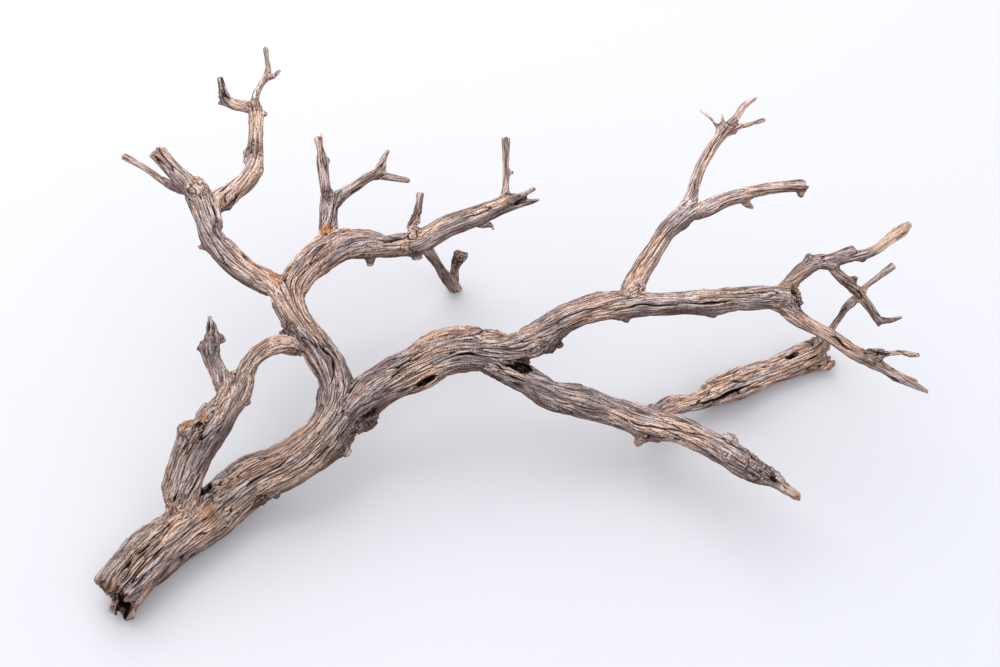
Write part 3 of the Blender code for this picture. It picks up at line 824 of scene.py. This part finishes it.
GREY_WOOD = (0.62, 0.505, 0.50)
TAN_WOOD = (0.95, 0.605, 0.435)
DARK_FIBRE = (0.095, 0.052, 0.041)
# Painted highlight on ridges that face up.
RIDGE_HIGHLIGHT = (1.0, 0.86, 0.79)
# Painted shade on the skin that faces down.
SHADED_WOOD = (0.14, 0.083, 0.069)
TWIG_BROWN = (0.42, 0.275, 0.215)
# Painted shade in grooves and cracks.
GROOVE_SHADE = (0.024, 0.011, 0.008)
FRESH_ORANGE = (0.80, 0.38, 0.17)
BARE_CREAM = (1.0, 0.72, 0.52)
# Painted shade inside hollows.
DEEP_SHADE = (0.011, 0.006, 0.004)
END_BROWN = (0.30, 0.175, 0.125)

# Scales are in noise cells to a metre, and the spacing and the bump are in metres.
HAIR_SCALE = 2100.0
HAIR_SPACING = 0.00055
HAIR_COUNT = 5  # samples each way along the fibres
SPECKLE_SCALE, SPECKLE_HEIGHT = 1500.0, 0.12
PATCH_SCALE = 160.0
SPECULAR = 0.1
BUMP_STRENGTH, BUMP_DISTANCE = 0.8, 0.003
# Painted light on the brighter stretches.
PAINTED_LIGHT_GAIN = 1.36  # of the light that the palest stretches give back


class Nodes:
    """Short forms for the nodes of one material."""

    def __init__(self, material):
        material.use_nodes = True
        self.tree = material.node_tree
        self.tree.nodes.clear()

    def new(self, kind, **settings):
        node = self.tree.nodes.new(kind)
        for name, value in settings.items():
            setattr(node, name, value)
        return node

    def feed(self, socket, value):
        if isinstance(value, bpy.types.NodeSocket):
            self.tree.links.new(value, socket)
        else:
            socket.default_value = value

    def attribute(self, name):
        return self.new("ShaderNodeAttribute", attribute_name=name).outputs["Fac"]

    def math(self, operation, a, b=0.0, c=0.0):
        node = self.new("ShaderNodeMath", operation=operation)
        for socket, value in zip(node.inputs, (a, b, c)):
            self.feed(socket, value)
        return node.outputs[0]

    def between(self, value, low, high, new_low=0.0, new_high=1.0):
        node = self.new("ShaderNodeMapRange")
        for name, number in (
            ("Value", value), ("From Min", low), ("From Max", high),
            ("To Min", new_low), ("To Max", new_high),
        ):
            self.feed(node.inputs[name], number)
        return node.outputs["Result"]

    def mix(self, share, first, second, blend="MIX"):
        node = self.new("ShaderNodeMix", data_type="RGBA", blend_type=blend)
        colours = [c if isinstance(c, bpy.types.NodeSocket) else (*c, 1.0) for c in (first, second)]
        self.feed(node.inputs["Factor"], share)
        self.feed(node.inputs[6], colours[0])
        self.feed(node.inputs[7], colours[1])
        return node.outputs[2]

    def vector_math(self, operation, a, b=None, scale=None):
        node = self.new("ShaderNodeVectorMath", operation=operation)
        self.feed(node.inputs[0], a)
        if b is not None:
            self.feed(node.inputs[1], b)
        if scale is not None:
            self.feed(node.inputs["Scale"], scale)
        return node.outputs["Vector"]

    def drawn_out(self, place, along, scale, spacing, count):
        """Noise averaged over places in a row along the fibres."""
        total = None
        for step in range(-count, count + 1):
            offset = self.vector_math("SCALE", along, scale=step * spacing)
            value = self.noise(self.vector_math("ADD", place, offset), scale, 0.0)
            total = value if total is None else self.math("ADD", total, value)
        return self.math("DIVIDE", total, 2 * count + 1)

    def noise(self, place, scale, detail=3.0, roughness=0.6):
        node = self.new("ShaderNodeTexNoise")
        self.feed(node.inputs["Vector"], place)
        node.inputs["Scale"].default_value = scale
        node.inputs["Detail"].default_value = detail
        node.inputs["Roughness"].default_value = roughness
        return node.outputs["Fac"]


def wood_material():
    material = bpy.data.materials.new("weathered_wood")
    nodes = Nodes(material)
    place = nodes.new("ShaderNodeTexCoord").outputs["Object"]
    along = nodes.new("ShaderNodeAttribute", attribute_name="along").outputs["Vector"]
    hair = nodes.drawn_out(place, along, HAIR_SCALE, HAIR_SPACING, HAIR_COUNT)
    speckle = nodes.noise(place, SPECKLE_SCALE, 4.0, 0.65)
    patches = nodes.noise(place, PATCH_SCALE, 3.0, 0.6)
    groove, ridge, fibre = (nodes.attribute(name) for name in ("groove", "ridge", "fibre"))
    hairline = nodes.between(hair, 0.485, 0.462)
    pale_hair = nodes.between(hair, 0.50, 0.55)
    patchy = nodes.between(patches, 0.3, 0.7, -0.25, 0.25)
    warmth = nodes.math("ADD", nodes.attribute("warmth"), patchy)
    warmth = nodes.math("ADD", warmth, nodes.between(hair, 0.45, 0.55, -0.15, 0.15))
    warmth = nodes.between(warmth, 0.15, 0.95)
    colour = nodes.mix(warmth, GREY_WOOD, TAN_WOOD)
    # Painted shade: the skin that faces down darkens towards SHADED_WOOD.
    shaded = nodes.between(nodes.attribute("painted_top_light"), 1.0, 0.0, 0.0, 0.8)
    colour = nodes.mix(shaded, colour, SHADED_WOOD)
    colour = nodes.mix(nodes.math("MULTIPLY", nodes.attribute("twig"), 0.4), colour, TWIG_BROWN)
    colour = nodes.mix(nodes.between(fibre, 0.5, 0.0, 0.0, 0.8), colour, DARK_FIBRE)
    # Painted highlight: ridges that face up turn pale.
    pale = nodes.math("MULTIPLY", ridge, nodes.between(fibre, 0.3, 0.9, 0.3, 1.0))
    pale = nodes.math("MULTIPLY", pale, nodes.between(pale_hair, 0.0, 1.0, 0.6, 1.0))
    pale = nodes.math("MULTIPLY", pale, nodes.attribute("painted_top_light"))
    colour = nodes.mix(nodes.math("MULTIPLY", pale, 0.95), colour, RIDGE_HIGHLIGHT)
    colour = nodes.mix(nodes.math("MULTIPLY", nodes.attribute("end"), 0.6), colour, END_BROWN)
    cream = nodes.mix(nodes.between(fibre, 0.5, 0.1, 0.0, 0.5), BARE_CREAM, TAN_WOOD)
    colour = nodes.mix(nodes.math("MULTIPLY", nodes.attribute("bare"), 0.95), colour, cream)
    colour = nodes.mix(nodes.attribute("fresh"), colour, FRESH_ORANGE)
    colour = nodes.mix(nodes.math("MULTIPLY", nodes.attribute("rough"), 0.4), colour, DARK_FIBRE)
    hair_share = nodes.between(nodes.attribute("bare"), 0.0, 1.0, 0.85, 0.3)
    colour = nodes.mix(nodes.math("MULTIPLY", hairline, hair_share), colour, DARK_FIBRE)
    # Painted shade in grooves and cracks.
    colour = nodes.mix(groove, colour, GROOVE_SHADE)
    # Painted shade inside hollows and in the grooves of rough bark.
    colour = nodes.mix(nodes.attribute("deep_shade"), colour, DEEP_SHADE)
    light = nodes.between(speckle, 0.3, 0.7, 0.86, 1.14)
    # Painted light: the brighter stretches are drawn lighter still.
    gain = nodes.between(nodes.attribute("painted_light"), 0.0, 1.0, 1.0, PAINTED_LIGHT_GAIN)
    light = nodes.math("MULTIPLY", light, gain)
    grey = nodes.new("ShaderNodeCombineColor")
    for socket in grey.inputs[:3]:
        nodes.feed(socket, light)
    colour = nodes.mix(1.0, colour, grey.outputs[0], "MULTIPLY")
    height = nodes.math("ADD", hair, nodes.math("MULTIPLY", speckle, SPECKLE_HEIGHT))
    bump = nodes.new("ShaderNodeBump")
    bump.inputs["Strength"].default_value = BUMP_STRENGTH
    bump.inputs["Distance"].default_value = BUMP_DISTANCE
    nodes.feed(bump.inputs["Height"], height)
    shader = nodes.new("ShaderNodeBsdfPrincipled")
    nodes.feed(shader.inputs["Base Color"], colour)
    nodes.feed(shader.inputs["Roughness"], nodes.between(speckle, 0.2, 0.8, 0.78, 0.95))
    nodes.feed(shader.inputs["Normal"], bump.outputs["Normal"])
    shader.inputs["Specular IOR Level"].default_value = SPECULAR
    output = nodes.new("ShaderNodeOutputMaterial")
    nodes.feed(output.inputs["Surface"], shader.outputs["BSDF"])
    return material


# --- The branch -------------------------------------------------------------------------------


def unwrap(skin):
    bpy.context.view_layer.objects.active = skin
    skin.select_set(True)
    skin.data.uv_layers.new(name="OFBake")
    bpy.ops.object.mode_set(mode="EDIT")
    bpy.ops.mesh.select_all(action="SELECT")
    bpy.ops.uv.smart_project(angle_limit=math.radians(66), island_margin=0.001)
    bpy.ops.object.mode_set(mode="OBJECT")


def make_branch():
    """The weathered skin, with its relief, its colours' attributes and its material."""
    solid = solid_copy()
    tree = BVHTree.FromBMesh(solid)
    tables = {
        "cracks": CRACKS, "fresh": FRESH_BREAKS, "worn": WORN_PATCHES, "bare": BARE_WOOD,
        "pale": PAINTED_LIGHT_STRETCHES, "knots": KNOTS, "rough": ROUGH_BARK, "torn": TORN_ENDS,
    }
    places = {kind: found(tree, table) for kind, table in tables.items()}
    centres, face_normals, areas, thicknesses = face_table(solid)
    directions = fibre_directions(centres, face_normals, areas, thicknesses)
    directions = flow_round_knots(centres, directions, places["knots"])
    fibres = Field(centres, outer_products(directions), areas)
    limbs = np.column_stack((agreeing(solid, directions), np.minimum(thicknesses, MOST_THICKNESS)))
    limb_field = Field(centres, limbs, areas)
    places["hollows"] = {name: hollow_axes(tree, fibres, row) for name, row in HOLLOWS.items()}
    cutters = hollow_cutters(places["hollows"])
    skin = fine_skin(solid, cutters)
    solid.free()
    cutters.free()
    unwrap(skin)
    points, normals = points_of(skin.data), normals_of(skin.data)
    along = main_direction(fibres.read(points))
    held = limb_field.read(points)
    along = np.where((along * held[:, :3]).sum(1, keepdims=True) < 0, -along, along)
    thickness = held[:, 3] / np.maximum(held[:, 4], 1e-9)
    near, far = fibre_paths(fibres, points, along)
    streak = all_streaks(near, far, points)
    height, marks = relief(points, normals, along, thickness, streak, places)
    moved = points + normals * height[:, None]
    moved[:, 2] = np.maximum(moved[:, 2], 0.0)
    set_points(skin.data, moved)
    paint(skin.data, moved, normals_of(skin.data), along, thickness, streak, marks, places, normals)
    skin.data.shade_smooth()
    skin.data.materials.clear()
    skin.data.materials.append(wood_material())
    return skin


# --- Floor, light and camera ------------------------------------------------------------------


FLOOR_COLOUR, FLOOR_ROUGHNESS, FLOOR_HALF_SIZE = (0.84, 0.84, 0.865), 0.9, 12.0
SKY_COLOUR, SKY_STRENGTH = (0.93, 0.95, 1.0, 1.0), 0.81
# Area lights: place, size, power, colour.
KEY_LIGHT = ((-0.45, 0.75, 1.2), 1.5, 11.5, (1.0, 0.98, 0.97))
FILL_LIGHT = ((0.9, -0.6, 1.2), 1.2, 3.0, (0.95, 0.97, 1.0))
LIT_POINT = (0, 0, 0.04)
LENS, SENSOR_WIDTH = 65.0, 36.0
CAMERA_PLACE = (-0.0064, -0.5139, 0.7822)
CAMERA_TILT = math.radians(35)  # from straight down


def plain_material(name, colour, roughness):
    material = bpy.data.materials.new(name)
    material.use_nodes = True
    shader = material.node_tree.nodes["Principled BSDF"]
    shader.inputs["Base Color"].default_value = (*colour, 1.0)
    shader.inputs["Roughness"].default_value = roughness
    return material


def make_floor():
    mesh = bpy.data.meshes.new("floor")
    plane = bmesh.new()
    bmesh.ops.create_grid(plane, x_segments=1, y_segments=1, size=FLOOR_HALF_SIZE)
    plane.to_mesh(mesh)
    plane.free()
    mesh.materials.append(plain_material("pale_floor", FLOOR_COLOUR, FLOOR_ROUGHNESS))
    floor = bpy.data.objects.new("floor", mesh)
    bpy.context.scene.collection.objects.link(floor)


def add_area_light(name, place, size, power, colour):
    data = bpy.data.lights.new(name, "AREA")
    data.shape = "SQUARE"
    data.size = size
    data.energy = power
    data.color = colour
    light = bpy.data.objects.new(name, data)
    light.location = place
    ray = Vector(LIT_POINT) - Vector(place)
    light.rotation_euler = ray.to_track_quat("-Z", "Y").to_euler()
    bpy.context.scene.collection.objects.link(light)


def make_light():
    world = bpy.data.worlds.new("studio")
    world.use_nodes = True
    background = world.node_tree.nodes["Background"]
    background.inputs["Color"].default_value = SKY_COLOUR
    background.inputs["Strength"].default_value = SKY_STRENGTH
    bpy.context.scene.world = world
    add_area_light("key", *KEY_LIGHT)
    add_area_light("fill", *FILL_LIGHT)


def make_camera():
    data = bpy.data.cameras.new("camera")
    data.lens = LENS
    data.sensor_width = SENSOR_WIDTH
    camera = bpy.data.objects.new("camera", data)
    camera.location = CAMERA_PLACE
    camera.rotation_euler = (CAMERA_TILT, 0, 0)
    bpy.context.scene.collection.objects.link(camera)
    bpy.context.scene.camera = camera


branch = make_branch()
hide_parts("branch")
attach(branch, "root")
make_floor()
make_light()
make_camera()
bpy.context.scene.view_settings.view_transform = "Standard"
